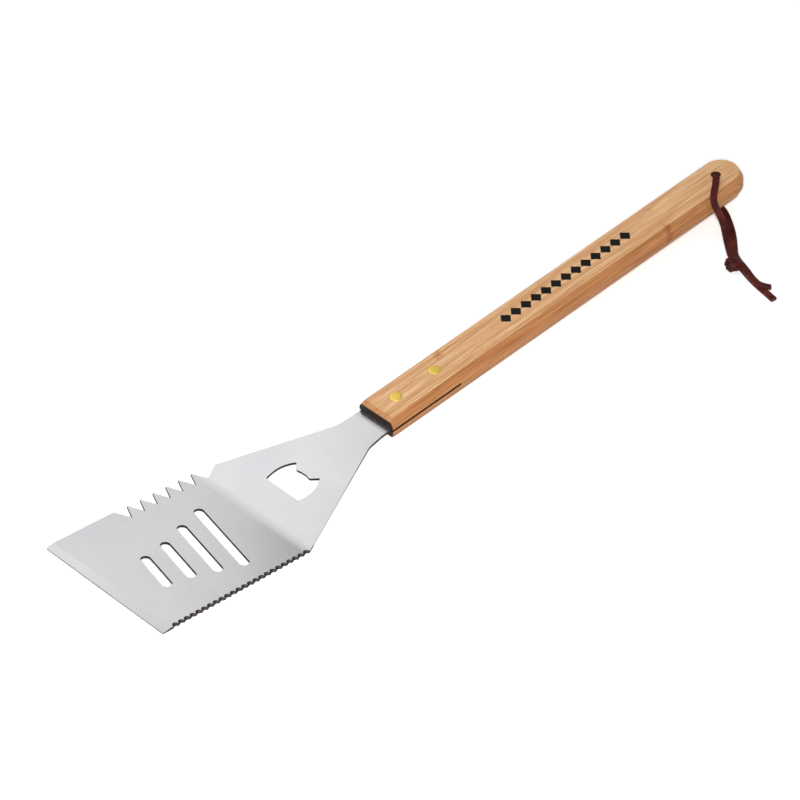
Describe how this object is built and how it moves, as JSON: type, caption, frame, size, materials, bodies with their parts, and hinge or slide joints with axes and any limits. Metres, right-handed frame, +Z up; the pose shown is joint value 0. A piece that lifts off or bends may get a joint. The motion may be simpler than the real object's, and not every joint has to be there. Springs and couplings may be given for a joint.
{
  "type": "grill spatula",
  "caption": "Slotted stainless grill spatula with a saw-toothed edge, a serrated edge, a bottle opener in the neck, a riveted bamboo handle and a knotted leather hanging thong.",
  "frame": {"origin": "on the table, under the middle of the spatula's own box", "axes": "+X along the spatula from the blade's front edge to the handle's butt, +Y to the saw-toothed edge, +Z up off the table that it lies on"},
  "size_m": [0.4488, 0.1183, 0.0259],
  "materials": {
    "stainless_steel": "fine satin brushing, ground bevel and ground teeth",
    "bamboo": "sanded and oiled laminated bamboo",
    "brass": "turned brass, lightly polished",
    "leather": "dark red-brown cut lace, smooth grain"
  },
  "bodies": {
    "root": {"blade": "stainless_steel", "handle_strip_near": "bamboo", "handle_strip_middle": "bamboo", "handle_strip_far": "bamboo", "rivet_front_pin_half": "brass", "rivet_front_socket_half": "brass", "rivet_rear_pin_half": "brass", "rivet_rear_socket_half": "brass", "thong_upper_strand": "leather", "thong_lower_strand": "leather", "thong_knot": "leather"}
  },
  "joints": []
}
